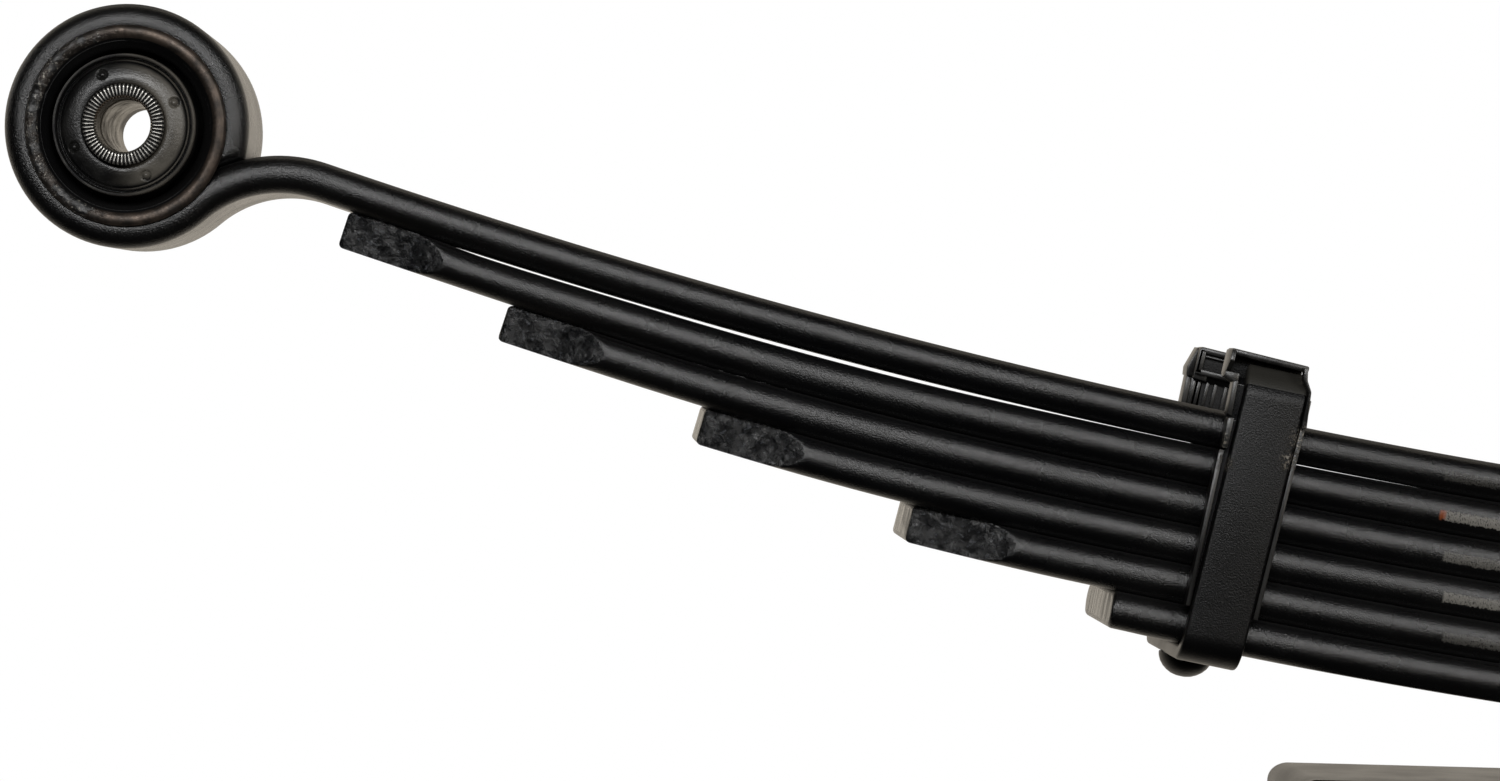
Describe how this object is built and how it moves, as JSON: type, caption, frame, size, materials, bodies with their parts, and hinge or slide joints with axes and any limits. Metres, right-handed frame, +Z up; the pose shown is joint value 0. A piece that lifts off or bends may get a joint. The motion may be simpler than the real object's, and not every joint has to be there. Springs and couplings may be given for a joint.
{
  "type": "leaf spring",
  "caption": "Semi-elliptic leaf spring: graduated steel leaves with a rolled, bushed eye at each end, riveted rebound clips, a centre bolt and a straight overload leaf below.",
  "frame": {"origin": "on the centre bolt's axis, at the overload leaf's underside, where the spring stands on its axle seat", "axes": "+X along the spring towards the rear eye, +Y across the leaves, +Z up from the axle towards the eyes"},
  "size_m": [1.447, 0.076, 0.2231],
  "materials": {
    "leaf_paint": "satin black",
    "strap_paint": "satin black",
    "spacer_steel": "satin black",
    "bolt_steel": "phosphated",
    "sleeve_steel": "bronze-brown phosphate",
    "core_steel": "machined, serrated ends",
    "bush_rubber": "satin",
    "liner_plastic": "moulded black"
  },
  "bodies": {
    "leaf_pack": {"main_leaf": "leaf_paint", "second_leaf": "leaf_paint", "third_leaf": "leaf_paint", "fourth_leaf": "leaf_paint", "fifth_leaf": "leaf_paint", "sixth_leaf": "leaf_paint", "overload_leaf": "leaf_paint", "overload_spacer": "spacer_steel", "centre_bolt": "bolt_steel", "centre_nut": "bolt_steel"},
    "front_clip": {"front_clip_strap": "strap_paint", "front_clip_rivet": "strap_paint", "front_clip_liner_left": "liner_plastic", "front_clip_liner_right": "liner_plastic"},
    "front_eye": {"front_bush_sleeve": "sleeve_steel", "front_bush_rubber": "bush_rubber"},
    "front_core": {"front_bush_core": "core_steel"},
    "rear_clip": {"rear_clip_strap": "strap_paint", "rear_clip_rivet": "strap_paint", "rear_clip_liner_left": "liner_plastic", "rear_clip_liner_right": "liner_plastic"},
    "rear_eye": {"rear_bush_sleeve": "sleeve_steel", "rear_bush_rubber": "bush_rubber"},
    "rear_core": {"rear_bush_core": "core_steel"}
  },
  "joints": [
    {"name": "front_inner_flex", "type": "hinge", "parent": "leaf_pack", "child": "front_clip", "pos_m": [-0.21019, 0, 0.08399], "axis": [0, -1, 0], "range_deg": [-1, 9], "stiffness_Nm_per_rad": 14000, "deforming": ["main_leaf", "second_leaf", "third_leaf", "fourth_leaf", "fifth_leaf", "sixth_leaf"]},
    {"name": "front_outer_flex", "type": "hinge", "parent": "front_clip", "child": "front_eye", "pos_m": [-0.51084, 0, 0.13362], "axis": [0, -1, 0], "range_deg": [-1, 9], "stiffness_Nm_per_rad": 5000, "deforming": ["main_leaf", "second_leaf", "third_leaf", "fourth_leaf", "fifth_leaf"]},
    {"name": "front_bush_twist", "type": "hinge", "parent": "front_eye", "child": "front_core", "pos_m": [-0.691, 0, 0.1826], "axis": [0, 1, 0], "range_deg": [-20, 20], "stiffness_Nm_per_rad": 90},
    {"name": "rear_inner_flex", "type": "hinge", "parent": "leaf_pack", "child": "rear_clip", "pos_m": [0.21019, 0, 0.08399], "axis": [0, 1, 0], "range_deg": [-1, 9], "stiffness_Nm_per_rad": 14000, "deforming": ["main_leaf", "second_leaf", "third_leaf", "fourth_leaf", "fifth_leaf", "sixth_leaf"]},
    {"name": "rear_outer_flex", "type": "hinge", "parent": "rear_clip", "child": "rear_eye", "pos_m": [0.51084, 0, 0.13362], "axis": [0, 1, 0], "range_deg": [-1, 9], "stiffness_Nm_per_rad": 5000, "deforming": ["main_leaf", "second_leaf", "third_leaf", "fourth_leaf", "fifth_leaf"]},
    {"name": "rear_bush_twist", "type": "hinge", "parent": "rear_eye", "child": "rear_core", "pos_m": [0.691, 0, 0.1826], "axis": [0, 1, 0], "range_deg": [-20, 20], "stiffness_Nm_per_rad": 90}
  ],
  "couplings": [
    {"joint": "front_outer_flex", "follows": "front_inner_flex", "ratio": 1},
    {"joint": "rear_outer_flex", "follows": "rear_inner_flex", "ratio": 1}
  ]
}
